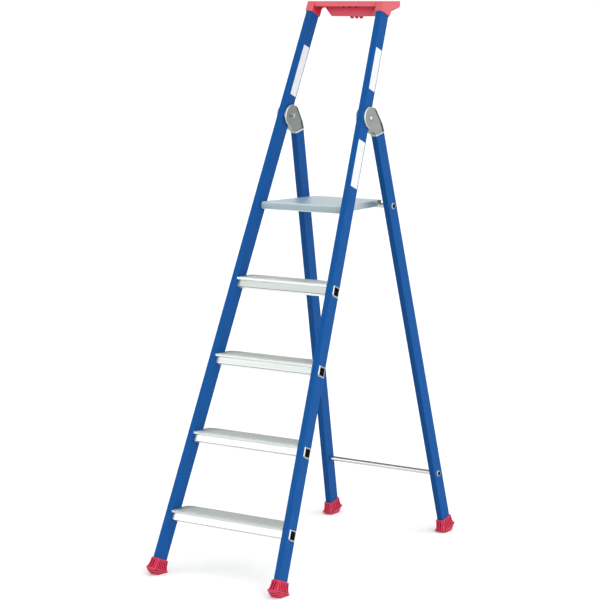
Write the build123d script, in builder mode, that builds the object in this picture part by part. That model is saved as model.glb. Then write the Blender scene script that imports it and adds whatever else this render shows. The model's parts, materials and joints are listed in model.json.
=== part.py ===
import os
from math import acos, atan2, cos, hypot, radians, sin, sqrt, tan

from build123d import *

os.makedirs("parts", exist_ok=True)

# Platform step ladder, climbed from one side.
# It stands on z = 0, the steps face -Y, and x = 0 is its middle plane.
# Lengths are millimetres and angles degrees.

# Stance
stile_lean = 22.7  # front stiles lean back from the vertical
leg_lean = 13.5  # rear legs lean forward from the vertical
side_taper = 3.0  # stiles and legs close in towards the top
pivot_height = 1433.0  # hinge axis above the floor
pivot_half_spread = 155.3  # stile axis from the middle plane, at the hinge
pivot_setback = 16.0  # hinge axis behind the stile axis
leg_setback = 48.9  # leg axis behind the hinge axis

# Glass-fibre tube of the stiles and legs
profile_depth = 48.0
profile_width = 22.0
profile_wall = 3.0
profile_corner = 3.0
stile_above_pivot = 376.0  # stile tip above the hinge, along the stile
tube_end_lift = 18.0  # lower tube ends above the floor, along the tube
slip = 0.06  # clearance between pieces that are pushed together

# Steps
step_count = 4
first_step = 200.0
step_pitch = 240.0
tread_depth = 85.0
tread_thickness = 2.8
tread_corner = 25.0
nose_height = 8.0
nose_thickness = 4.0
nose_round = 1.6
rear_lip_height = 12.0
rear_lip_thickness = 2.6
rear_lip_round = 1.0
rib_count = 13
rib_pitch = 5.2
rib_width = 2.2
rib_height = 0.8
rib_start = 10.0
chamber_depth = 29.0
chamber_height = 30.0
chamber_wall = 1.8
chamber_drop = 23.0  # middle of the chamber below the tread
chamber_setback = 3.1  # middle of the chamber behind the stile axis
rim_margin = 2.4
rim_thickness = 2.5
rim_slope = 30.0  # flared rims narrow outwards

# Hinge heads
cheek_radius = 35.5
cheek_thickness = 6.5
cheek_gap = 1.5  # between a cheek and the stile's side
stop_gap = 0.3  # between the open stile and the head's stop face
fold_gap = 1.0  # between the folded stile and the head's body
head_shoulder_back = 40.0
head_shoulder_up = 20.0
head_shoulder_radius = 30.0
head_heel_back = 72.0  # rear edge where it meets the collar
head_length = 69.0  # collar's lower edge below the hinge axis
head_taper_drop = 24.0  # the head narrows below this
head_edge = 2.4
strip_width = 12.0  # bevelled strip along the rear edge
strip_depth = 3.0
collar_wall = 1.6
collar_lip = 0.8  # collar proud of the head's sides
collar_height = 8.0
collar_seat = 6.0  # leg tip inside the collar
spigot_length = 48.0  # cast tongue inside the leg
bolt_radius = 4.0
bolt_running_gap = 0.05
bolt_head_radius = 7.5
bolt_head_height = 4.5
bolt_head_bevel = 3.0
seat_radius = 9.5
seat_depth = 1.2
washer_radius = 8.5
washer_thickness = 1.6
nut_across_flats = 13.0
nut_sides = 6
nut_height = 8.0
bolt_tip = 2.0
sleeve_wall = 2.0
sleeve_proud = 1.0
pin_radius = 3.0
pin_drop = 90.0
pin_length = 14.0

# Cross tubes between the legs
cross_tube_radius = 8.0
cross_tube_wall = 1.6
cross_rim_margin = 3.0
cross_rim_thickness = 2.0
lower_tube_height = 210.0
platform_tube_setback = 3.0

# Platform
deck_height = 1157.5
deck_nose_setback = 14.0  # nose behind the stile's front face
deck_plate = 3.0
deck_thickness = 25.0
deck_rear_half_width = 128.0
deck_side_play = 0.6
nose_beam_depth = 34.0
nose_beam_wall = 2.5
nose_beam_round = 11.0
skirt_height = 20.0
skirt_thickness = 3.0
skirt_gap = 7.0  # skirt ends ahead of the cross tube
hook_thickness = 9.2
hook_gap = 0.3  # between hook and cross tube
lip_thickness = 3.0
lip_height = 19.0
deck_rib_count = 4
deck_rib_height = 11.0
deck_rib_width = 2.5
axle_radius = 5.0
axle_setback = 15.0  # axle behind the nose
axle_drop = 12.5  # axle below the deck
axle_boss_wall = 3.0
axle_web = 2.5
bush_wall = 3.5
bush_depth = 13.0
bush_flange = 2.5
bush_flange_thickness = 1.0
axle_engagement = 10.0

# Top tray
tray_cap = 10.6  # tray top above the stile tips
tray_depth = 108.0
tray_plate = 3.0
tray_rim_height = 17.0
tray_corner = 8.0
socket_wall = 3.2
socket_overlap = 22.5  # stile tip inside the socket
basin_depth = 47.0
basin_half_width = 112.0
basin_floor_half_width = 72.0
basin_front_margin = 26.0
basin_rear_margin = 8.0
basin_slope = 6.0
basin_corner = 6.0
basin_wall = 2.8
gusset_thickness = 4.0
gusset_elbow_back = 13.0
gusset_elbow_drop = 17.0
gusset_tip_drop = 3.0
tray_rib_count = 3
tray_rib_pitch = 25.0
tray_rib_width = 2.5
lug_count = 3
lug_pitch = 18.0
lug_radius = 7.0
lug_thickness = 4.0
lug_reach = 7.0
lug_setback = 27.0  # ahead of the basin's rear edge
rivet_radius = 2.4
rivet_head_radius = 5.0
rivet_head_height = 1.6
rivet_head_slope = 40.0
rivet_grip = 9.0
rivet_lift = 11.0

# Feet
foot_wall = 4.0
foot_length = 50.0  # top of the foot above the floor, along the tube
flare_top = 36.0
brim_drop = 14.0  # underside of the brim above the floor, along the tube
brim_thickness = 3.0
brim_length = 78.0
brim_width = 40.0
brim_corner = 8.0
brim_ledge = 2.5  # brim beyond the flare
foot_rib_width = 3.0
foot_rib_pitch = 9.0
foot_rib_proud = 1.2
foot_rib_inset = 0.5  # rib ends inside the brim's edge
foot_rib_lift = 2.0  # rib tops below the foot's top
side_rib_count = 6
end_rib_count = 3
rocker_radius = 46.0  # rounded sole, seen from the side
rocker_height = 44.0  # its centre above the floor, along the tube
sole_width = 34.0
tooth_gap = 3.0
tooth_gap_depth = 9.0
tooth_gap_count = 8
tooth_pitch = 11.0  # degrees round the sole
straight_down = 270.0  # degrees, where the row of teeth is centred

# Directions along and across the stiles and legs
lean = radians(stile_lean)
leg_angle = radians(leg_lean)
taper = radians(side_taper)
fold_angle = stile_lean + leg_lean
stance_depth = (
    pivot_height * (tan(lean) + tan(leg_angle))
    + pivot_setback / cos(lean)
    + leg_setback / cos(leg_angle)
)
front_reach = brim_length / 2 * cos(lean) - brim_drop * sin(lean)
rear_reach = brim_length / 2 * cos(leg_angle) - brim_drop * sin(leg_angle)
front_foot_y = -(stance_depth + rear_reach - front_reach) / 2
pivot_y = front_foot_y + pivot_height * tan(lean) + pivot_setback / cos(lean)
hinge_point = Vector(pivot_half_spread, pivot_y, pivot_height)
stile_back = Vector(0, cos(lean), -sin(lean))
stile_up = Vector(0, sin(lean), cos(lean))
leg_back = Vector(0, cos(leg_angle), sin(leg_angle))
leg_up = Vector(0, -sin(leg_angle), cos(leg_angle))


def side_plane(back, up):
    """Side view of a right-hand tube: x runs back, y up along the tube, z outward."""
    outward = Vector(1, 0, 0) * cos(taper) + up * sin(taper)
    return Plane(origin=hinge_point, x_dir=back, z_dir=outward)


def section_plane(side, back, along):
    """Cross-section of a tube at a distance along it: x runs back, z along the tube."""
    centre = side.from_local_coords(Vector(back, along, 0))
    return Plane(origin=centre, x_dir=side.x_dir, z_dir=side.y_dir)


def mirrored(plane):
    """The same plane on the left-hand side."""
    origin = Vector(-plane.origin.X, plane.origin.Y, plane.origin.Z)
    normal = Vector(-plane.z_dir.X, plane.z_dir.Y, plane.z_dir.Z)
    return Plane(origin=origin, x_dir=plane.x_dir, z_dir=normal)


def cross_plane(y, z):
    """Plane across the ladder at x = 0: x runs back, y up, and z to the right."""
    return Plane(origin=(0, y, z), x_dir=(0, 1, 0), z_dir=(1, 0, 0))


def spread(plane, y, z):
    """Distance of a side plane from the middle plane at a given place."""
    normal = plane.z_dir
    lean_out = normal.Y * (y - plane.origin.Y) + normal.Z * (z - plane.origin.Z)
    return plane.origin.X - lean_out / normal.X


def stile_front(z):
    """Where the stile's front face stands at a height."""
    return front_foot_y + z * tan(lean) - profile_depth / 2 / cos(lean)


def write(piece, name):
    """Label a finished piece and save it under its own name."""
    piece.label = name
    export_step(piece, f"parts/{name}.step")


def write_pair(piece, name):
    """Save a right-hand piece and its left-hand mirror image."""
    write(mirror(piece, about=Plane.YZ), f"{name}_left")
    write(piece, f"{name}_right")


stile_side = side_plane(stile_back, stile_up)
leg_side = side_plane(leg_back, leg_up)
stile_inner = stile_side.offset(-profile_width / 2)
stile_outer = stile_side.offset(profile_width / 2)
leg_outer = leg_side.offset(profile_width / 2)
stile_floor = -(pivot_height + pivot_setback * sin(lean)) / (cos(lean) * cos(taper))
leg_floor = -(pivot_height + leg_setback * sin(leg_angle)) / (cos(leg_angle) * cos(taper))
reach = pivot_half_spread * 2
hinge_axis = cross_plane(pivot_y, pivot_height)
leg_top_drop = head_length - collar_seat
socket_start = stile_above_pivot - socket_overlap
stile_rear_face = profile_depth / 2 - pivot_setback

# Places on the stiles that several pieces share
step_heights = [first_step + number * step_pitch for number in range(step_count)]
chamber_planes = []
for step_height in step_heights:
    chamber_height_above_floor = step_height - chamber_drop
    chamber_y = front_foot_y + chamber_height_above_floor * tan(lean) + chamber_setback
    chamber_planes.append(
        Plane(origin=(0, chamber_y, chamber_height_above_floor), x_dir=stile_back, z_dir=(1, 0, 0))
    )

deck_nose = stile_front(deck_height) + deck_nose_setback
axle_y = deck_nose + axle_setback
axle_z = deck_height - axle_drop
axle_line = cross_plane(axle_y, axle_z)
axle_spread = spread(stile_inner, axle_y, axle_z)
bush_radius = axle_radius + bolt_running_gap + bush_wall
sleeve_radius = bolt_radius + bolt_running_gap + sleeve_wall


def tube_place(height, setback):
    """Where a cross tube passes through the legs, at a height and behind the leg axis."""
    back = leg_setback + setback
    along = (height - pivot_height - back * sin(leg_angle)) / (cos(leg_angle) * cos(taper))
    return leg_side.from_local_coords(Vector(back, along, 0))


platform_tube_height = deck_height - hook_thickness - hook_gap - cross_tube_radius
platform_tube_place = tube_place(platform_tube_height, platform_tube_setback)
lower_tube_place = tube_place(lower_tube_height, 0)

# Front stiles: hollow tubes with square holes for the steps and round ones for the bearings
with BuildPart() as front_stile:
    stile_start = stile_floor + tube_end_lift
    with BuildSketch(section_plane(stile_side, -pivot_setback, stile_start)):
        RectangleRounded(profile_depth, profile_width, profile_corner)
        RectangleRounded(
            profile_depth - 2 * profile_wall,
            profile_width - 2 * profile_wall,
            profile_corner / 2,
            mode=Mode.SUBTRACT,
        )
    extrude(amount=stile_above_pivot - stile_start)
    for chamber_plane in chamber_planes:
        with BuildSketch(chamber_plane):
            Rectangle(chamber_depth + 2 * slip, chamber_height + 2 * slip)
        extrude(amount=reach, mode=Mode.SUBTRACT)
    with BuildSketch(hinge_axis):
        Circle(sleeve_radius + slip)
    extrude(amount=reach, mode=Mode.SUBTRACT)
    with BuildSketch(axle_line):
        Circle(bush_radius + slip)
    extrude(amount=axle_spread + profile_width / 2, mode=Mode.SUBTRACT)
    rivet_place = Vector(stile_rear_face, socket_start + rivet_lift, 0)
    rivet_plane = Plane(
        origin=stile_side.from_local_coords(rivet_place), x_dir=stile_side.z_dir, z_dir=stile_back
    )
    with BuildSketch(rivet_plane):
        Circle(rivet_radius + slip)
    extrude(amount=-profile_depth / 2, mode=Mode.SUBTRACT)
write_pair(front_stile.part, "front_stile")

# Steps: one extrusion each, its square chamber let through the stiles and flared outside
tread_root = tread_thickness / 2
for number, step_height in enumerate(step_heights):
    tread_nose = stile_front(step_height)
    chamber_plane = chamber_planes[number]
    chamber_y = chamber_plane.origin.Y - tread_nose
    web_offset = (chamber_depth - chamber_wall) / 2
    with BuildPart() as step:
        with BuildSketch(cross_plane(tread_nose, step_height)):
            with Locations((tread_depth / 2, -tread_thickness / 2)):
                Rectangle(tread_depth, tread_thickness)
            with Locations((nose_thickness / 2, -nose_height / 2)):
                RectangleRounded(nose_thickness, nose_height, nose_round)
            with Locations((tread_depth - rear_lip_thickness / 2, -rear_lip_height / 2)):
                RectangleRounded(rear_lip_thickness, rear_lip_height, rear_lip_round)
            for rib in range(rib_count):
                with Locations((rib_start + rib * rib_pitch, 0)):
                    Rectangle(rib_width, 2 * rib_height)
            for web_side in (-1, 1):
                web_back = web_side * web_offset
                web_y = chamber_y + web_back * cos(lean) + chamber_height / 2 * sin(lean)
                web_drop = chamber_drop + web_back * sin(lean) - chamber_height / 2 * cos(lean)
                web_length = (web_drop - tread_root) / cos(lean)
                web_middle = (web_y + web_length / 2 * sin(lean), -(web_drop + tread_root) / 2)
                with Locations(web_middle):
                    Rectangle(chamber_wall, web_length, rotation=-stile_lean)
        extrude(amount=reach, both=True)
        split(bisect_by=stile_inner, keep=Keep.BOTTOM)
        split(bisect_by=mirrored(stile_inner), keep=Keep.BOTTOM)
        with BuildSketch(Plane.XY.offset(step_height - chamber_drop)):
            half_length = spread(stile_inner, tread_nose, step_height - chamber_drop)
            with Locations((0, tread_nose + tread_depth / 2)):
                Rectangle(2 * half_length, tread_depth)
            fillet(vertices().group_by(Axis.Y)[-1], tread_corner)
        extrude(amount=2 * chamber_drop, both=True, mode=Mode.INTERSECT)
        with BuildSketch(chamber_plane):
            Rectangle(chamber_depth, chamber_height)
        extrude(amount=reach, both=True)
        split(bisect_by=stile_outer, keep=Keep.BOTTOM)
        split(bisect_by=mirrored(stile_outer), keep=Keep.BOTTOM)
        rim_spread = spread(stile_outer, chamber_plane.origin.Y, chamber_plane.origin.Z)
        rim_centre = (rim_spread, chamber_plane.origin.Y, chamber_plane.origin.Z)
        rim_plane = Plane(origin=rim_centre, x_dir=stile_back, z_dir=stile_side.z_dir)
        for plane in (rim_plane, mirrored(rim_plane)):
            with BuildSketch(plane):
                RectangleRounded(
                    chamber_depth + 2 * rim_margin, chamber_height + 2 * rim_margin, rim_margin
                )
            extrude(amount=rim_thickness, taper=rim_slope)
        with BuildSketch(chamber_plane):
            Rectangle(chamber_depth - 2 * chamber_wall, chamber_height - 2 * chamber_wall)
        extrude(amount=reach, both=True, mode=Mode.SUBTRACT)
    write(step.part, f"step_{number + 1}")

# Rear legs: the same tube, bored for the two cross tubes and the head's pin
with BuildPart() as rear_leg:
    leg_start = leg_floor + tube_end_lift
    with BuildSketch(section_plane(leg_side, leg_setback, leg_start)):
        RectangleRounded(profile_depth, profile_width, profile_corner)
        RectangleRounded(
            profile_depth - 2 * profile_wall,
            profile_width - 2 * profile_wall,
            profile_corner / 2,
            mode=Mode.SUBTRACT,
        )
    extrude(amount=-leg_top_drop - leg_start)
    for place in (platform_tube_place, lower_tube_place):
        with BuildSketch(cross_plane(place.Y, place.Z)):
            Circle(cross_tube_radius + slip)
        extrude(amount=reach, mode=Mode.SUBTRACT)
    pin_place = Vector(leg_setback + profile_depth / 2, -pin_drop, 0)
    pin_plane = Plane(
        origin=leg_side.from_local_coords(pin_place), x_dir=leg_side.z_dir, z_dir=leg_back
    )
    with BuildSketch(pin_plane):
        Circle(pin_radius + slip)
    extrude(amount=-profile_depth / 2, mode=Mode.SUBTRACT)
write_pair(rear_leg.part, "rear_leg")

# Cross tubes: round tubes through both legs, flared on the outside
for name, place in (("platform_tube", platform_tube_place), ("lower_cross_tube", lower_tube_place)):
    tube_axis = cross_plane(place.Y, place.Z)
    rim_spread = spread(leg_outer, place.Y, place.Z)
    rim_plane = Plane(origin=(rim_spread, place.Y, place.Z), x_dir=leg_back, z_dir=leg_side.z_dir)
    with BuildPart() as cross_tube:
        with BuildSketch(tube_axis):
            Circle(cross_tube_radius)
        extrude(amount=reach, both=True)
        split(bisect_by=leg_outer, keep=Keep.BOTTOM)
        split(bisect_by=mirrored(leg_outer), keep=Keep.BOTTOM)
        for plane in (rim_plane, mirrored(rim_plane)):
            with BuildSketch(plane):
                Circle(cross_tube_radius + cross_rim_margin)
            extrude(amount=cross_rim_thickness, taper=rim_slope)
        with BuildSketch(tube_axis):
            Circle(cross_tube_radius - cross_tube_wall)
        extrude(amount=reach, both=True, mode=Mode.SUBTRACT)
    write(cross_tube.part, name)

# Hinge heads: castings with a fork round the stile and a tongue in the leg
slot_half = profile_width / 2 + cheek_gap
head_half = slot_half + cheek_thickness
collar_half = profile_width / 2 + collar_wall
collar_top = collar_height - head_length
leg_front = leg_setback - profile_depth / 2
fold = radians(fold_angle)
stop_face = stile_rear_face + stop_gap
fold_face = stile_rear_face + fold_gap
slot_reach = 2 * head_length
slot_bend = -(stop_face - fold_face * cos(fold)) / sin(fold)
side_tilt = atan2(head_half - collar_half + collar_lip, -collar_top - head_taper_drop)
strip_tilt = atan2(strip_depth, strip_width)
rear_tilt = atan2(head_heel_back - head_shoulder_back, head_shoulder_up + leg_top_drop)
rear_normal = leg_side.x_dir * cos(rear_tilt) + leg_side.y_dir * sin(rear_tilt)


def cheek_touch(back, up, turn):
    """Where a line from a point touches the round cheek, on one side or the other."""
    angle = atan2(up, back) + turn * acos(cheek_radius / hypot(back, up))
    return cheek_radius * cos(angle), cheek_radius * sin(angle)


with BuildPart() as hinge_head:
    with BuildSketch(leg_side.offset(-head_half)):
        with BuildLine():
            Polyline(
                (0, 0),
                cheek_touch(head_shoulder_back, head_shoulder_up, 1),
                (head_shoulder_back, head_shoulder_up),
                (head_heel_back, -leg_top_drop),
                (leg_front, -leg_top_drop),
                cheek_touch(leg_front, -leg_top_drop, -1),
                close=True,
            )
        make_face()
        shoulder = vertices().sort_by_distance((head_shoulder_back, head_shoulder_up))[0]
        fillet(shoulder, head_shoulder_radius)
        Circle(cheek_radius)
    extrude(amount=2 * head_half)
    chamfer(faces().filter_by(Axis(hinge_point, leg_side.z_dir)).edges(), head_edge)
    for turn in (1, -1):
        outward = leg_side.z_dir * turn
        side_cut = Plane(
            origin=leg_side.from_local_coords(Vector(0, -head_taper_drop, turn * head_half)),
            z_dir=outward * cos(side_tilt) - leg_side.y_dir * sin(side_tilt),
        )
        strip_edge = Vector(head_shoulder_back, head_shoulder_up, turn * (head_half - strip_depth))
        strip_cut = Plane(
            origin=leg_side.from_local_coords(strip_edge),
            z_dir=outward * cos(strip_tilt) + rear_normal * sin(strip_tilt),
        )
        split(bisect_by=side_cut, keep=Keep.BOTTOM)
        split(bisect_by=strip_cut, keep=Keep.BOTTOM)
    with BuildSketch(section_plane(leg_side, leg_setback, -head_length)):
        RectangleRounded(
            profile_depth + 2 * collar_wall,
            profile_width + 2 * collar_wall,
            profile_corner + collar_wall,
        )
    extrude(amount=collar_height)
    with BuildSketch(leg_side.offset(-slot_half)):
        with BuildLine():
            Polyline(
                (fold_face, -slot_reach),
                (fold_face, slot_bend),
                (fold_face + slot_reach * sin(fold), slot_bend + slot_reach * cos(fold)),
                (-slot_reach, slot_reach),
                (-slot_reach, -slot_reach),
                close=True,
            )
        make_face()
    extrude(amount=2 * slot_half, mode=Mode.SUBTRACT)
    with BuildSketch(section_plane(leg_side, leg_setback, -head_length)):
        RectangleRounded(profile_depth + 2 * slip, profile_width + 2 * slip, profile_corner)
    extrude(amount=collar_seat + slip, mode=Mode.SUBTRACT)
    with BuildSketch(section_plane(leg_side, leg_setback, slip - leg_top_drop)):
        RectangleRounded(
            profile_depth - 2 * (profile_wall + slip),
            profile_width - 2 * (profile_wall + slip),
            profile_corner / 2,
        )
    extrude(amount=-spigot_length)
    with BuildSketch(hinge_axis):
        Circle(bolt_radius + slip)
    extrude(amount=reach, mode=Mode.SUBTRACT)
    with BuildSketch(pin_plane):
        Circle(pin_radius + slip)
    extrude(amount=-pin_length - slip, mode=Mode.SUBTRACT)
    seat_outer = pivot_half_spread + head_half - seat_depth
    seat_inner = pivot_half_spread - head_half + seat_depth
    with BuildSketch(hinge_axis.offset(seat_outer)):
        Circle(seat_radius)
    extrude(amount=cheek_thickness, mode=Mode.SUBTRACT)
    with BuildSketch(hinge_axis.offset(seat_inner)):
        Circle(seat_radius)
    extrude(amount=-cheek_thickness, mode=Mode.SUBTRACT)
write_pair(hinge_head.part, "hinge_head")

# Hinge bolts with domed heads outside, washers and lock nuts inside
nut_seat = seat_inner - washer_thickness
with BuildPart() as hinge_bolts:
    with BuildSketch(hinge_axis.offset(seat_outer)):
        Circle(bolt_head_radius)
    extrude(amount=bolt_head_height)
    chamfer(edges().group_by(Axis.X)[-1], bolt_head_bevel)
    with BuildSketch(hinge_axis.offset(seat_outer)):
        Circle(bolt_radius)
    extrude(amount=nut_seat - nut_height - bolt_tip - seat_outer)
    mirror(about=Plane.YZ)
write(hinge_bolts.part, "hinge_bolts")

with BuildPart() as hinge_washers:
    with BuildSketch(hinge_axis.offset(nut_seat)):
        Circle(washer_radius)
        Circle(bolt_radius + slip, mode=Mode.SUBTRACT)
    extrude(amount=washer_thickness)
    mirror(about=Plane.YZ)
write(hinge_washers.part, "hinge_washers")

with BuildPart() as hinge_nuts:
    with BuildSketch(hinge_axis.offset(nut_seat)):
        RegularPolygon(nut_across_flats / 2, nut_sides, major_radius=False)
        Circle(bolt_radius + slip, mode=Mode.SUBTRACT)
    extrude(amount=-nut_height)
    mirror(about=Plane.YZ)
write(hinge_nuts.part, "hinge_nuts")

# Bearing sleeves through the stiles, standing a little proud of their sides
with BuildPart() as hinge_sleeves:
    with BuildSketch(hinge_axis):
        Circle(sleeve_radius)
        Circle(bolt_radius + bolt_running_gap, mode=Mode.SUBTRACT)
    extrude(amount=reach)
    split(bisect_by=stile_side.offset(profile_width / 2 + sleeve_proud), keep=Keep.BOTTOM)
    split(bisect_by=stile_side.offset(-profile_width / 2 - sleeve_proud), keep=Keep.TOP)
    mirror(about=Plane.YZ)
write(hinge_sleeves.part, "hinge_sleeves")

# Pins that hold the heads on the legs, flush with the legs' rear faces
with BuildPart() as head_pins:
    with BuildSketch(pin_plane):
        Circle(pin_radius)
    extrude(amount=-pin_length)
    mirror(about=Plane.YZ)
write(head_pins.part, "head_pins")

# Platform: a hollow nose beam, a ribbed plate, side skirts and a rear hook over the cross tube
tube_back = platform_tube_place.Y - deck_nose
hook_inside = tube_back + cross_tube_radius + hook_gap
deck_depth = hook_inside + lip_thickness
hook_front = tube_back - cross_tube_radius - skirt_gap
deck_side_margin = bush_flange_thickness + deck_side_play
deck_front_half_width = spread(stile_inner, axle_y, deck_height) - deck_side_margin
deck_narrowing = (deck_front_half_width - deck_rear_half_width) / deck_depth
rib_field = hook_front - nose_beam_depth
with BuildPart() as platform_deck:
    with BuildSketch(cross_plane(deck_nose, deck_height)):
        with Locations((nose_beam_depth / 2, -deck_thickness / 2)):
            RectangleRounded(nose_beam_depth, deck_thickness, nose_beam_round)
            RectangleRounded(
                nose_beam_depth - 2 * nose_beam_wall,
                deck_thickness - 2 * nose_beam_wall,
                nose_beam_round - nose_beam_wall,
                mode=Mode.SUBTRACT,
            )
        with Locations((nose_beam_depth / 2, -axle_drop)):
            Rectangle(nose_beam_depth - nose_beam_wall, axle_web)
        with Locations((axle_setback, -axle_drop)):
            Circle(axle_radius + axle_boss_wall)
        plate_start = nose_beam_round
        with Locations(((plate_start + deck_depth) / 2, -deck_plate / 2)):
            Rectangle(deck_depth - plate_start, deck_plate)
        for rib in range(deck_rib_count):
            rib_y = nose_beam_depth + rib_field * (rib + 1) / (deck_rib_count + 1)
            with Locations((rib_y, -deck_rib_height / 2)):
                Rectangle(deck_rib_width, deck_rib_height)
        with Locations(((hook_front + deck_depth) / 2, -hook_thickness / 2)):
            Rectangle(deck_depth - hook_front, hook_thickness)
        with Locations((deck_depth - lip_thickness / 2, -lip_height / 2)):
            Rectangle(lip_thickness, lip_height)
        with Locations((axle_setback, -axle_drop)):
            Circle(axle_radius + slip, mode=Mode.SUBTRACT)
    extrude(amount=deck_front_half_width, both=True)
    with BuildSketch(Plane.XY.offset(deck_height)):
        with BuildLine():
            Polyline(
                (-deck_front_half_width, deck_nose),
                (deck_front_half_width, deck_nose),
                (deck_rear_half_width, deck_nose + deck_depth),
                (-deck_rear_half_width, deck_nose + deck_depth),
                close=True,
            )
        make_face()
    extrude(amount=-2 * deck_thickness, mode=Mode.INTERSECT)
    skirt_front_half = deck_front_half_width - deck_narrowing * nose_beam_depth
    skirt_rear_half = deck_front_half_width - deck_narrowing * hook_front
    skirt_start = deck_nose + nose_beam_depth - nose_beam_wall
    with BuildSketch(Plane.XY.offset(deck_height)):
        for turn in (1, -1):
            with BuildLine():
                Polyline(
                    (turn * skirt_front_half, skirt_start),
                    (turn * skirt_rear_half, deck_nose + hook_front),
                    (turn * (skirt_rear_half - skirt_thickness), deck_nose + hook_front),
                    (turn * (skirt_front_half - skirt_thickness), skirt_start),
                    close=True,
                )
            make_face()
    extrude(amount=-skirt_height)
write(platform_deck.part, "platform_deck")

# Platform axle and the flanged bushes in the stiles' inner walls
with BuildPart() as platform_axle:
    with BuildSketch(axle_line):
        Circle(axle_radius)
    extrude(amount=axle_spread + axle_engagement, both=True)
write(platform_axle.part, "platform_axle")

flange_plane = Plane(origin=(axle_spread, axle_y, axle_z), x_dir=stile_back, z_dir=-stile_side.z_dir)
with BuildPart() as platform_bushes:
    with BuildSketch(axle_line.offset(axle_spread)):
        Circle(bush_radius)
    extrude(amount=bush_depth)
    with BuildSketch(flange_plane):
        Circle(bush_radius + bush_flange)
    extrude(amount=bush_flange_thickness)
    with BuildSketch(axle_line):
        Circle(axle_radius + bolt_running_gap)
    extrude(amount=axle_spread + axle_engagement + bolt_running_gap, mode=Mode.SUBTRACT)
    mirror(about=Plane.YZ)
write(platform_bushes.part, "platform_bushes")

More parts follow.
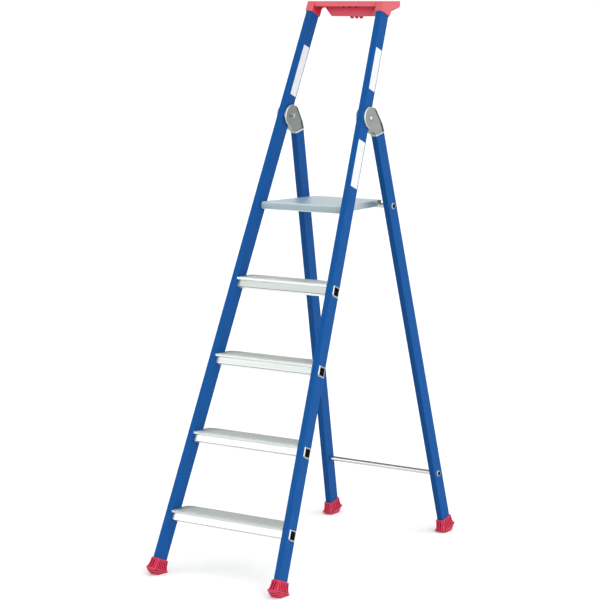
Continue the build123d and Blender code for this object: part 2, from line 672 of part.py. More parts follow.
# Top tray: a rimmed plate with a sunk basin, and a socket over each stile
stile_tip = stile_side.from_local_coords(
    Vector(-profile_depth / 2 - pivot_setback, stile_above_pivot, profile_width / 2)
)
tray_top = stile_tip.Z + tray_cap
tray_front = stile_front(tray_top) - socket_wall / cos(lean)
tray_middle = tray_front + tray_depth / 2
tray_half_width = spread(stile_outer, tray_middle, tray_top - tray_rim_height) + socket_wall
basin_front = tray_front + basin_front_margin
basin_rear = tray_front + tray_depth - basin_rear_margin
basin_middle = (basin_front + basin_rear) / 2
basin_length = basin_rear - basin_front
rim_floor = tray_top - tray_rim_height
basin_floor = tray_top - basin_depth
with BuildPart() as top_tray:
    with BuildSketch(Plane.XY.offset(rim_floor)):
        with Locations((0, tray_middle)):
            RectangleRounded(2 * tray_half_width, tray_depth, tray_corner)
            RectangleRounded(
                2 * (tray_half_width - tray_plate),
                tray_depth - 2 * tray_plate,
                tray_corner - tray_plate,
                mode=Mode.SUBTRACT,
            )
    extrude(amount=tray_rim_height)
    with BuildSketch(Plane.XY.offset(tray_top - tray_plate)):
        with Locations((0, tray_middle)):
            RectangleRounded(2 * tray_half_width, tray_depth, tray_corner)
    extrude(amount=tray_plate)
    for plane in (stile_side, mirrored(stile_side)):
        along = plane.y_dir * (1 if plane is stile_side else -1)
        centre = plane.origin - stile_back * pivot_setback + along * socket_start
        with BuildSketch(Plane(origin=centre, x_dir=stile_back, z_dir=along)):
            RectangleRounded(
                profile_depth + 2 * socket_wall,
                profile_width + 2 * socket_wall,
                profile_corner + socket_wall / 2,
            )
        extrude(amount=2 * stile_above_pivot - socket_start)
    split(bisect_by=Plane.XY.offset(tray_top), keep=Keep.BOTTOM)
    with BuildSketch(Plane.XY.offset(tray_top)):
        with Locations((0, basin_middle)):
            RectangleRounded(
                2 * (basin_half_width + basin_wall), basin_length + 2 * basin_wall, basin_corner
            )
    with BuildSketch(Plane.XY.offset(basin_floor - basin_wall)):
        with Locations((0, basin_middle)):
            RectangleRounded(
                2 * (basin_floor_half_width + basin_wall),
                basin_length + 2 * (basin_wall - basin_slope),
                basin_corner,
            )
    loft(ruled=True)
    gusset_top = rim_floor + tray_plate
    gusset_foot = stile_side.from_local_coords(
        Vector(stile_rear_face, socket_start, profile_width / 2 + socket_wall)
    )
    gusset_end = tray_front + tray_depth - tray_corner
    for turn in (1, -1):
        with BuildSketch(cross_plane(0, 0).offset(turn * (tray_half_width - gusset_thickness / 2))):
            with BuildLine():
                Polyline(
                    (gusset_foot.Y, gusset_top),
                    (gusset_foot.Y, gusset_foot.Z),
                    (gusset_foot.Y + socket_wall, gusset_foot.Z),
                    (gusset_foot.Y + gusset_elbow_back, rim_floor - gusset_elbow_drop),
                    (gusset_end, rim_floor - gusset_tip_drop),
                    (gusset_end, gusset_top),
                    close=True,
                )
            make_face()
        extrude(amount=gusset_thickness / 2, both=True)
    for rib in range(tray_rib_count):
        rib_x = (rib - (tray_rib_count - 1) / 2) * tray_rib_pitch
        with BuildSketch(cross_plane(0, 0).offset(rib_x)):
            with BuildLine():
                Polyline(
                    (tray_front + tray_plate / 2, tray_top - tray_plate / 2),
                    (tray_front + tray_plate / 2, rim_floor + tray_plate),
                    (basin_front, basin_floor + basin_depth / 2),
                    (basin_front, tray_top - tray_plate / 2),
                    close=True,
                )
            make_face()
        extrude(amount=tray_rib_width / 2, both=True)
    for lug in range(lug_count):
        lug_x = (lug - (lug_count - 1) / 2) * lug_pitch
        lug_place = (lug_x, basin_rear - lug_setback, basin_floor - lug_reach + lug_radius / 2)
        with BuildSketch(Plane(origin=lug_place, z_dir=(0, 1, 0))):
            Circle(lug_radius)
        extrude(amount=-lug_thickness)
    with BuildSketch(Plane.XY.offset(tray_top)):
        with Locations((0, basin_middle)):
            RectangleRounded(2 * basin_half_width, basin_length, basin_corner)
    with BuildSketch(Plane.XY.offset(basin_floor)):
        with Locations((0, basin_middle)):
            RectangleRounded(2 * basin_floor_half_width, basin_length - 2 * basin_slope, basin_corner)
    loft(ruled=True, mode=Mode.SUBTRACT)
    for plane in (stile_side, mirrored(stile_side)):
        along = plane.y_dir * (1 if plane is stile_side else -1)
        centre = plane.origin - stile_back * pivot_setback + along * socket_start
        with BuildSketch(Plane(origin=centre, x_dir=stile_back, z_dir=along)):
            RectangleRounded(profile_depth + 2 * slip, profile_width + 2 * slip, profile_corner)
        extrude(amount=socket_overlap + slip, mode=Mode.SUBTRACT)
    for plane in (rivet_plane, mirrored(rivet_plane)):
        with BuildSketch(plane):
            Circle(rivet_radius + slip)
        extrude(amount=2 * socket_wall, mode=Mode.SUBTRACT)
write(top_tray.part, "top_tray")

# Blind rivets from the sockets' rear sides into the stiles
with BuildPart() as tray_rivets:
    with BuildSketch(rivet_plane.offset(socket_wall)):
        Circle(rivet_head_radius)
    extrude(amount=rivet_head_height, taper=rivet_head_slope)
    with BuildSketch(rivet_plane.offset(socket_wall)):
        Circle(rivet_radius)
    extrude(amount=-rivet_grip)
    mirror(about=Plane.YZ)
write(tray_rivets.part, "tray_rivets")

# Feet: ribbed, flared shoes pushed over the tube ends, with a brim and a toothed rocker sole
tooth_sweep = tooth_pitch * (tooth_gap_count - 1)
first_tooth_gap = straight_down - tooth_sweep / 2
rocker_half = sqrt(rocker_radius**2 - (rocker_height - brim_drop) ** 2)
brim_top = brim_drop + brim_thickness
foot_rib_top = foot_length - foot_rib_lift
collar_depth = profile_depth + 2 * foot_wall
collar_width = profile_width + 2 * foot_wall
for name, side, back, floor in (
    ("foot_front", stile_side, -pivot_setback, stile_floor),
    ("foot_rear", leg_side, leg_setback, leg_floor),
):
    foot_centre = side.from_local_coords(Vector(back, floor, 0))
    foot_side = Plane(origin=foot_centre, x_dir=side.x_dir, z_dir=side.z_dir)
    foot_end = Plane(origin=foot_centre, x_dir=side.z_dir, z_dir=-side.x_dir)
    with BuildPart() as foot:
        with BuildSketch(foot_side):
            with BuildLine():
                ThreePointArc(
                    (-rocker_half, brim_drop),
                    (0, rocker_height - rocker_radius),
                    (rocker_half, brim_drop),
                )
                Line((rocker_half, brim_drop), (-rocker_half, brim_drop))
            make_face()
            with Locations((0, rocker_height)):
                with PolarLocations(
                    rocker_radius, tooth_gap_count, first_tooth_gap, tooth_sweep, endpoint=True
                ):
                    Rectangle(2 * tooth_gap_depth, tooth_gap, mode=Mode.SUBTRACT)
        extrude(amount=sole_width / 2, both=True)
        with BuildSketch(section_plane(side, back, floor + brim_drop)):
            RectangleRounded(brim_length, brim_width, brim_corner)
        extrude(amount=brim_thickness)
        with BuildSketch(section_plane(side, back, floor + brim_top)):
            RectangleRounded(
                brim_length - 2 * brim_ledge, brim_width - 2 * brim_ledge, brim_corner - brim_ledge
            )
        with BuildSketch(section_plane(side, back, floor + flare_top)):
            RectangleRounded(collar_depth, collar_width, profile_corner + foot_wall / 2)
        loft(ruled=True)
        with BuildSketch(section_plane(side, back, floor + flare_top)):
            RectangleRounded(collar_depth, collar_width, profile_corner + foot_wall / 2)
        extrude(amount=foot_length - flare_top)
        for rib_face, rib_count_here, rib_base, rib_tip in (
            (foot_end, side_rib_count, brim_width / 2, collar_width / 2),
            (foot_side, end_rib_count, brim_length / 2, collar_depth / 2),
        ):
            for rib in range(rib_count_here):
                rib_offset = (rib - (rib_count_here - 1) / 2) * foot_rib_pitch
                rib_foot = rib_base - foot_rib_inset
                rib_head = rib_tip + foot_rib_proud
                with BuildSketch(rib_face.offset(rib_offset)):
                    with BuildLine():
                        Polyline(
                            (rib_foot, brim_top),
                            (rib_head, foot_rib_top),
                            (-rib_head, foot_rib_top),
                            (-rib_foot, brim_top),
                            close=True,
                        )
                    make_face()
                extrude(amount=foot_rib_width / 2, both=True)
        split(bisect_by=Plane.XY, keep=Keep.TOP)
        with BuildSketch(section_plane(side, back, floor + tube_end_lift - slip)):
            RectangleRounded(profile_depth + 2 * slip, profile_width + 2 * slip, profile_corner)
        extrude(amount=foot_length, mode=Mode.SUBTRACT)
    write_pair(foot.part, name)

print(f"stance {stance_depth:.1f}, pivot y {pivot_y:.2f}, fold {fold_angle:.2f}")
print(f"axle y {axle_y:.2f} z {axle_z:.2f}, deck depth {deck_depth:.1f}, tray top {tray_top:.2f}")
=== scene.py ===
import json
from functools import partial
from math import atan2, cos, hypot, radians, sin, sqrt, tan

import bpy
import numpy as np
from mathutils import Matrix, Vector


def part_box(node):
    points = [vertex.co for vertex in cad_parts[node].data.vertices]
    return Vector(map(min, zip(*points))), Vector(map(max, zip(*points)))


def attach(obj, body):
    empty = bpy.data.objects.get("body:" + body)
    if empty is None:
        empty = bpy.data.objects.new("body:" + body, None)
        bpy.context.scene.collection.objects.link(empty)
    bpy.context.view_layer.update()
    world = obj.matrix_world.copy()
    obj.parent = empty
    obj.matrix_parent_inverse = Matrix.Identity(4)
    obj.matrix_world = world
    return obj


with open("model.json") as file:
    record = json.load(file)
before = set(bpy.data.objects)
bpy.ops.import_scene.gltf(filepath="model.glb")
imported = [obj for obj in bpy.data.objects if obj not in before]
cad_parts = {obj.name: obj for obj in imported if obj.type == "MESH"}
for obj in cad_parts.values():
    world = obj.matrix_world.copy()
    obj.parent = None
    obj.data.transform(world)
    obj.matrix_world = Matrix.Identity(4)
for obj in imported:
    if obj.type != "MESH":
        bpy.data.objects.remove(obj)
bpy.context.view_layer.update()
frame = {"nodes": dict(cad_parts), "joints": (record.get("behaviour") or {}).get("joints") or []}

bl_info = {
    "name": "Platform Step Ladder Finish",
    "version": (1, 0, 0),
    "blender": (4, 5, 0),
    "location": "View3D > Sidebar > Ladder",
    "description": "Dresses a folding platform step ladder and sets up its studio",
    "category": "Object",
}

NODES = frame["nodes"]
JOINTS = {joint["name"]: joint for joint in frame["joints"]}
HINGE = np.array(JOINTS["rear_fold"]["pos_m"])
MM = 0.001

# Directions and sizes of the solids that finishes and plates follow
STILE_LEAN = radians(22.7)
LEG_LEAN = radians(13.5)
SIDE_TAPER = radians(3.0)
PIVOT_SPREAD = 155.3 * MM
PIVOT_SETBACK = 16.0 * MM
STILE_HALF_WIDTH = 11.0 * MM
STILE_HALF_DEPTH = 24.0 * MM
STEP_PITCH = 240.0 * MM
CHAMBER_HEIGHT = 177.0 * MM  # lowest step's chamber above the floor
CHAMBER_SETBACK = 3.1 * MM
CHAMBER_HALF_DEPTH = 12.7 * MM  # inside its walls
CHAMBER_HALF_HEIGHT = 13.2 * MM
TUBE_BORE = 6.4 * MM
BORE_MARGIN = 0.3 * MM
RIM_MARGIN = 3.0 * MM  # treads' front rims, behind the stiles' front sides
FLARE_MARGIN = 0.8 * MM
SHOULDER = (40.0 * MM, 20.0 * MM)  # top of a hinge head's rear edge, behind and above the hinge
HEEL = (72.0 * MM, -63.0 * MM)  # foot of that edge
STRIP_WIDTH = 11.0 * MM
LIP_START = 64.5 * MM  # lip of the heads' collars, below the hinge, which takes a painted highlight
HOOK_DEPTH = 28.0 * MM  # platform's rear hook

STILES = ("front_stile_left", "front_stile_right")
LEGS = ("rear_leg_left", "rear_leg_right")
STEPS = ("step_1", "step_2", "step_3", "step_4")
FEET = ("foot_front_left", "foot_front_right", "foot_rear_left", "foot_rear_right")
CASTINGS = ("hinge_head_left", "hinge_head_right")
TUBES = ("platform_tube", "lower_cross_tube")
FITTINGS = ("hinge_bolts", "hinge_nuts", "hinge_washers", "head_pins", "platform_axle", "tray_rivets")
BEARINGS = ("hinge_sleeves", "platform_bushes")

# Bare label plates: side of the ladder, face of the stile, lower and upper ends along it from the hinge,
# and front edge from the stile's middle
PLATES = (
    ("label_plate_inner_left", -1, -1, 65.0 * MM, 239.5 * MM, -13.5 * MM),
    ("label_plate_outer_upper", 1, 1, 89.0 * MM, 232.0 * MM, -16.5 * MM),
    ("label_plate_outer_lower", 1, 1, -242.0 * MM, -84.5 * MM, -21.0 * MM),
)

# Sockets of a colour Mix node, whose names it shares with its other kinds
MIX_FACTOR, MIX_FIRST, MIX_SECOND, MIX_RESULT = 0, 6, 7, 2

# Values of a noise where its dark colour ends and its light colour begins
NOISE_DARK, NOISE_LIGHT = 0.3, 0.7

# How squarely a face looks sideways, from nought to one: least on a side face, and on a chamfer that
# takes a painted highlight
SIDE_LEAST = 0.5
CHAMFER_TILT, CHAMFER_SPAN = 0.7, 0.15

# Share of the dark colour, painted as shade, on places of the extrusions
END_SHADE = 0.4
NOSE_SHADE = 0.43
BORE_SHADE = 0.75
TREAD_SHADE = 0.3
LOWER_EDGE_SHADE = 0.85
RIM_SHADE = 0.35
BLUNT_ROUGHNESS = 0.5  # more than the rest of the metal

# Studio
FLOOR_HALF = 400.0  # wide enough to meet the surround
AIM = Vector((0, 0, 0.9))  # middle of the ladder
KEY_PLACE = Vector((5.0, -1.5, 9.4))
KEY_SPREAD = radians(110)
LEFT_SOFTBOX_PLACE = Vector((-4.0, -5.4, 1.8))
LEFT_SOFTBOX_WIDTH = 3.5
RIGHT_SOFTBOX_PLACE = Vector((6.0, -4.0, 2.2))
RIGHT_SOFTBOX_WIDTH = 1.6
SENSOR_WIDTH = 36.0  # in millimetres, as the focal length is
VIEW_LIMIT = 2000.0


def linear(colour):
    """Linear RGBA of an sRGB hex value such as #1c5fa3."""
    channels = np.array([int(colour[place:place + 2], 16) for place in (1, 3, 5)]) / 255
    low = channels / 12.92
    high = ((channels + 0.055) / 1.055) ** 2.4
    return (*np.where(channels <= 0.04045, low, high), 1.0)


def add_node(tree, kind, settings=None, inputs=None):
    """Adds a node, sets its options, and sets or links each input, by name or by number."""
    node = tree.nodes.new(kind)
    for name, value in (settings or {}).items():
        setattr(node, name, value)
    for name, value in (inputs or {}).items():
        if isinstance(value, bpy.types.NodeSocket):
            tree.links.new(value, node.inputs[name])
        else:
            node.inputs[name].default_value = value
    return node


def new_material(name):
    """An empty node material, its tree and its Principled shader."""
    material = bpy.data.materials.new(name)
    material.use_nodes = True
    tree = material.node_tree
    return material, tree, tree.nodes["Principled BSDF"]


def dress(names, material):
    """Gives a material to CAD nodes."""
    for name in names:
        slots = NODES[name].data.materials
        slots.clear()
        slots.append(material)


class LadderFinish(bpy.types.PropertyGroup):
    """Colours of the ladder's finishes."""

    blue: bpy.props.FloatVectorProperty(
        name="Fibreglass",
        description="Pigment of the stiles and legs",
        default=linear("#104a88")[:3],
        subtype="COLOR",
    )
    # Painted shade: the tray's and feet's recess colours are painted where ambient occlusion finds
    # recesses, and their faded colours are the plain colours of open faces
    tray_recess_shade: bpy.props.FloatVectorProperty(
        name="Tray recesses",
        description="Tray where daylight has not reached",
        default=linear("#b80c32")[:3],
        subtype="COLOR",
    )
    tray_open: bpy.props.FloatVectorProperty(
        name="Faded tray",
        description="Tray where daylight has faded it",
        default=linear("#c45b62")[:3],
        subtype="COLOR",
    )
    foot_recess_shade: bpy.props.FloatVectorProperty(
        name="Feet recesses",
        description="Feet between their ribs and teeth",
        default=linear("#a00b2f")[:3],
        subtype="COLOR",
    )
    foot_open: bpy.props.FloatVectorProperty(
        name="Faded feet",
        description="Feet where daylight has faded them",
        default=linear("#c53d58")[:3],
        subtype="COLOR",
    )
    tread_metal: bpy.props.FloatVectorProperty(
        name="Extrusions",
        description="Colour of the steps",
        default=linear("#eef3ef")[:3],
        subtype="COLOR",
    )
    tube_metal: bpy.props.FloatVectorProperty(
        name="Cross tubes",
        description="Colour of the cross tubes",
        default=linear("#c8cbc9")[:3],
        subtype="COLOR",
    )
    deck_metal: bpy.props.FloatVectorProperty(
        name="Platform",
        description="Colour of the platform's sheet",
        default=linear("#eaf9ff")[:3],
        subtype="COLOR",
    )
    cast_metal: bpy.props.FloatVectorProperty(
        name="Castings",
        description="Colour of the hinge heads",
        default=linear("#9fa6a4")[:3],
        subtype="COLOR",
    )


class LadderPlates(bpy.types.PropertyGroup):
    """Sizes of the bare label plates on the stiles."""

    rear_edge: bpy.props.FloatProperty(
        name="Rear edge", description="Behind the stile's middle", default=19 * MM, unit="LENGTH"
    )
    thickness: bpy.props.FloatProperty(
        name="Thickness", description="Film above the stile's face", default=0.35 * MM, unit="LENGTH"
    )
    corner: bpy.props.FloatProperty(
        name="Corner", description="Radius of the plate's corners", default=2.5 * MM, unit="LENGTH"
    )


class LadderStage(bpy.types.PropertyGroup):
    """Studio floor, light and camera."""

    focal_length: bpy.props.FloatProperty(
        name="Focal length", description="On a 36 mm sensor", default=128.48, unit="CAMERA"
    )
    camera_place: bpy.props.FloatVectorProperty(
        name="Camera",
        description="Camera from the middle of the hinge axis",
        default=(3.901, -5.816, 0.373),
        subtype="TRANSLATION",
        unit="LENGTH",
    )
    azimuth: bpy.props.FloatProperty(
        name="Azimuth", description="Camera round the ladder", default=radians(34.553), subtype="ANGLE"
    )
    elevation: bpy.props.FloatProperty(
        name="Elevation", description="Camera above the horizon", default=radians(7.947), subtype="ANGLE"
    )
    horizon: bpy.props.FloatProperty(
        name="Horizon", description="Brightness of the white surround at eye level", default=1.02
    )
    zenith: bpy.props.FloatProperty(
        name="Zenith", description="Brightness of the surround overhead", default=0.3
    )
    key: bpy.props.FloatProperty(
        name="Key light", description="Strength of the wide light from the right", default=2.9
    )
    left_softbox: bpy.props.FloatProperty(
        name="Left softbox", description="Its power, at the front left", default=76.0, unit="POWER"
    )
    right_softbox: bpy.props.FloatProperty(
        name="Right softbox", description="Its power, at the front right", default=40.0, unit="POWER"
    )


def facing(tree):
    """Parts of the direction that a surface looks in: X to the right, Y backwards and Z upwards."""
    normal = add_node(tree, "ShaderNodeTexCoord").outputs["Normal"]
    return add_node(tree, "ShaderNodeSeparateXYZ", {}, {"Vector": normal}).outputs


def fibreglass(name, colour, lean):
    """Pultruded glass fibre in pigmented resin: satin, with faint streaks drawn out along the tube.

    The eye sees a deep even colour with long soft lines and little gloss. Real rovings are about 0.5 mm
    wide, which is too fine to show, so the streaks are drawn 3 mm wide. Sides turned to the ground are
    painted darker, as painted shade.
    """
    material, tree, shader = new_material(name)
    streak_width = 3 * MM
    streak_length = 260 * MM
    pigment = np.array(colour)
    dark_streak, light_streak, sheltered_shade = 0.88, 1.12, 0.72
    place = add_node(tree, "ShaderNodeTexCoord").outputs["Object"]
    turned = add_node(tree, "ShaderNodeMapping", {}, {
        "Vector": place,
        "Rotation": (lean, 0, 0),
    })
    stretched = add_node(tree, "ShaderNodeMapping", {}, {
        "Vector": turned.outputs["Vector"],
        "Scale": (1 / streak_width, 1 / streak_width, 1 / streak_length),
    })
    streaks = add_node(tree, "ShaderNodeTexNoise", {}, {
        "Vector": stretched.outputs["Vector"],
        "Scale": 1.0,
        "Detail": 2.0,
        "Roughness": 0.5,
    })
    shade = add_node(tree, "ShaderNodeValToRGB", {}, {"Fac": streaks.outputs["Fac"]})
    shade.color_ramp.elements[0].position = NOISE_DARK
    shade.color_ramp.elements[0].color = (*(pigment * dark_streak), 1)
    shade.color_ramp.elements[1].position = NOISE_LIGHT
    shade.color_ramp.elements[1].color = (*np.minimum(pigment * light_streak, 1), 1)
    # Painted shade: faces that look downwards are mixed towards a darker copy of the pigment
    sheltered = add_node(tree, "ShaderNodeMapRange", {}, {
        "Value": facing(tree)["Z"],
        "From Min": -0.1,
        "From Max": -0.23,
    })
    ground_shaded = add_node(tree, "ShaderNodeMix", {"data_type": "RGBA"}, {
        MIX_FACTOR: sheltered.outputs["Result"],
        MIX_FIRST: shade.outputs["Color"],
        MIX_SECOND: (*(pigment * sheltered_shade), 1),
    })
    gloss = add_node(tree, "ShaderNodeMapRange", {}, {
        "Value": streaks.outputs["Fac"],
        "To Min": 0.4,
        "To Max": 0.58,
    })
    bump = add_node(tree, "ShaderNodeBump", {}, {
        "Strength": 0.15,
        "Distance": 0.2 * MM,
        "Height": streaks.outputs["Fac"],
    })
    tree.links.new(ground_shaded.outputs[MIX_RESULT], shader.inputs["Base Color"])
    tree.links.new(gloss.outputs["Result"], shader.inputs["Roughness"])
    tree.links.new(bump.outputs["Normal"], shader.inputs["Normal"])
    shader.inputs["IOR"].default_value = 1.52
    shader.inputs["Specular IOR Level"].default_value = 0.05
    return material


def moulded_plastic(name, deep, faded, recess):
    """Injection-moulded polypropylene with a fine spark-eroded grain: soft broad highlights.

    Recesses of the given size, found by ambient occlusion, are painted in the deep colour as painted
    shade, and open faces take the lighter colour named faded. The grain of the tool is about 0.2 mm, too
    fine to show, so it is drawn at 1.2 mm.
    """
    material, tree, shader = new_material(name)
    grain = 1.2 * MM
    full_shade_openness, no_shade_openness = 0.66, 1.0
    place = add_node(tree, "ShaderNodeTexCoord").outputs["Object"]
    fine = add_node(tree, "ShaderNodeTexNoise", {}, {
        "Vector": place,
        "Scale": 1 / grain,
        "Detail": 2.0,
    })
    # Painted shade: ambient occlusion mixes the colour from the faded one on open faces to the deep one
    # in recesses
    openness = add_node(tree, "ShaderNodeAmbientOcclusion", {"only_local": True}, {"Distance": recess})
    shade = add_node(tree, "ShaderNodeValToRGB", {}, {"Fac": openness.outputs["AO"]})
    shade.color_ramp.elements[0].position = full_shade_openness
    shade.color_ramp.elements[0].color = (*deep, 1)
    shade.color_ramp.elements[1].position = no_shade_openness
    shade.color_ramp.elements[1].color = (*faded, 1)
    gloss = add_node(tree, "ShaderNodeMapRange", {}, {
        "Value": fine.outputs["Fac"],
        "To Min": 0.38,
        "To Max": 0.55,
    })
    bump = add_node(tree, "ShaderNodeBump", {}, {
        "Strength": 0.2,
        "Distance": 0.15 * MM,
        "Height": fine.outputs["Fac"],
    })
    tree.links.new(shade.outputs["Color"], shader.inputs["Base Color"])
    tree.links.new(gloss.outputs["Result"], shader.inputs["Roughness"])
    tree.links.new(bump.outputs["Normal"], shader.inputs["Normal"])
    shader.inputs["IOR"].default_value = 1.49
    shader.inputs["Specular IOR Level"].default_value = 0.2
    return material


def sideness(tree):
    """How squarely faces look to the left or right: one straight sideways and nought not at all."""
    across = add_node(tree, "ShaderNodeMath", {"operation": "ABSOLUTE"}, {0: facing(tree)["X"]})
    return across.outputs["Value"]


def sideways(tree):
    """One on faces that look to the left or right and nought on the rest."""
    steep = add_node(tree, "ShaderNodeMath", {"operation": "GREATER_THAN"}, {
        0: sideness(tree),
        1: SIDE_LEAST,
    })
    return steep.outputs["Value"]


def platform_painted_shade(tree, place):
    """Share of painted shade: one on the sawn ends of the platform's rear hook, less on faces that look
    forward, else nought.

    The faces that look forward are the nose's and a few under the deck.
    """
    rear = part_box("platform_deck")[1][1]
    parts = add_node(tree, "ShaderNodeSeparateXYZ", {}, {"Vector": place})
    behind = add_node(tree, "ShaderNodeMath", {"operation": "GREATER_THAN"}, {
        0: parts.outputs["Y"],
        1: rear - HOOK_DEPTH,
    })
    hook = add_node(tree, "ShaderNodeMath", {"operation": "MULTIPLY"}, {
        0: behind.outputs["Value"],
        1: sideways(tree),
    })
    nose = add_node(tree, "ShaderNodeMapRange", {}, {
        "Value": facing(tree)["Y"],
        "From Min": -0.2,
        "From Max": -0.9,
        "To Max": NOSE_SHADE,
    })
    dull = add_node(tree, "ShaderNodeMath", {"operation": "MAXIMUM"}, {
        0: hook.outputs["Value"],
        1: nose.outputs["Result"],
    })
    return dull.outputs["Value"]


def blunt_nose(tree):
    """One where the platform looks forward, as its nose does, falling to nought on its level top."""
    nose = add_node(tree, "ShaderNodeMapRange", {}, {
        "Value": facing(tree)["Y"],
        "From Min": -0.05,
        "From Max": -0.4,
    })
    return nose.outputs["Result"]


def step_painted_shade(tree, place):
    """Share of painted shade: most in the steps' chambers and on their lower front edges, less on treads
    and rims, else nought.

    The place is turned to lie along the stiles, where the chambers are evenly spaced, and the run along
    the stiles is wrapped round to the lowest chamber.
    """
    axis_foot = HINGE[1] - PIVOT_SETBACK / cos(STILE_LEAN) - HINGE[2] * tan(STILE_LEAN)
    middle_y = axis_foot + CHAMBER_HEIGHT * tan(STILE_LEAN) + CHAMBER_SETBACK
    back = middle_y * cos(STILE_LEAN) - CHAMBER_HEIGHT * sin(STILE_LEAN)
    stile_front = back - CHAMBER_SETBACK * cos(STILE_LEAN) - STILE_HALF_DEPTH
    along = middle_y * sin(STILE_LEAN) + CHAMBER_HEIGHT * cos(STILE_LEAN)
    pitch = STEP_PITCH / cos(STILE_LEAN)
    turned = add_node(tree, "ShaderNodeMapping", {}, {"Vector": place, "Rotation": (STILE_LEAN, 0, 0)})
    parts = add_node(tree, "ShaderNodeSeparateXYZ", {}, {"Vector": turned.outputs["Vector"]})
    lowest = add_node(tree, "ShaderNodeMath", {"operation": "WRAP"}, {
        0: parts.outputs["Z"],
        1: along + pitch / 2,
        2: along - pitch / 2,
    })
    within_height = add_node(tree, "ShaderNodeMath", {"operation": "COMPARE"}, {
        0: lowest.outputs["Value"],
        1: along,
        2: CHAMBER_HALF_HEIGHT + BORE_MARGIN,
    })
    within_depth = add_node(tree, "ShaderNodeMath", {"operation": "COMPARE"}, {
        0: parts.outputs["Y"],
        1: back,
        2: CHAMBER_HALF_DEPTH + BORE_MARGIN,
    })
    within = add_node(tree, "ShaderNodeMath", {"operation": "MULTIPLY"}, {
        0: within_height.outputs["Value"],
        1: within_depth.outputs["Value"],
    })
    # Painted shade: the inside of each chamber is painted near black
    bore = add_node(tree, "ShaderNodeMath", {"operation": "MULTIPLY"}, {
        0: within.outputs["Value"],
        1: BORE_SHADE,
    })
    looks = facing(tree)
    # Painted shade: the tops of the treads are painted darker
    tread = add_node(tree, "ShaderNodeMapRange", {}, {
        "Value": looks["Z"],
        "From Min": 0.4,
        "From Max": 0.9,
        "To Max": TREAD_SHADE,
    })
    # Painted shade: a dark line along the lower edge of each step's front
    edge = add_node(tree, "ShaderNodeMath", {"operation": "LESS_THAN"}, {
        0: lowest.outputs["Value"],
        1: along - CHAMBER_HALF_HEIGHT,
    })
    front = add_node(tree, "ShaderNodeMapRange", {}, {
        "Value": looks["Y"],
        "From Min": -0.5,
        "From Max": -0.6,
        "To Max": LOWER_EDGE_SHADE,
    })
    lower = add_node(tree, "ShaderNodeMath", {"operation": "MULTIPLY"}, {
        0: edge.outputs["Value"],
        1: front.outputs["Result"],
    })
    # Painted shade: the forward-looking rims round the chambers are painted darker
    foremost = add_node(tree, "ShaderNodeMath", {"operation": "LESS_THAN"}, {
        0: parts.outputs["Y"],
        1: stile_front + RIM_MARGIN,
    })
    upright = add_node(tree, "ShaderNodeMapRange", {}, {
        "Value": looks["Y"],
        "From Min": -0.94,
        "From Max": -0.99,
        "To Max": RIM_SHADE,
    })
    rim = add_node(tree, "ShaderNodeMath", {"operation": "MULTIPLY"}, {
        0: foremost.outputs["Value"],
        1: upright.outputs["Result"],
    })
    edges = add_node(tree, "ShaderNodeMath", {"operation": "MAXIMUM"}, {
        0: lower.outputs["Value"],
        1: rim.outputs["Value"],
    })
    # Painted shade on treads, lower front edges and rims
    worn = add_node(tree, "ShaderNodeMath", {"operation": "MAXIMUM"}, {
        0: tread.outputs["Result"],
        1: edges.outputs["Value"],
    })
    dull = add_node(tree, "ShaderNodeMath", {"operation": "MAXIMUM"}, {
        0: bore.outputs["Value"],
        1: worn.outputs["Value"],
    })
    return dull.outputs["Value"]


def tube_bore(tree, place, tube):
    """One inside a cross tube's bore and nought elsewhere, from the distance to the tube's axis."""
    middle = np.mean(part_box(tube), axis=0)
    flat = add_node(tree, "ShaderNodeVectorMath", {"operation": "MULTIPLY"}, {0: place, 1: (0, 1, 1)})
    distance = add_node(tree, "ShaderNodeVectorMath", {"operation": "DISTANCE"}, {
        0: flat.outputs["Vector"],
        1: (0, middle[1], middle[2]),
    })
    inside = add_node(tree, "ShaderNodeMath", {"operation": "LESS_THAN"}, {
        0: distance.outputs["Value"],
        1: TUBE_BORE + FLARE_MARGIN,
    })
    return inside.outputs["Value"]


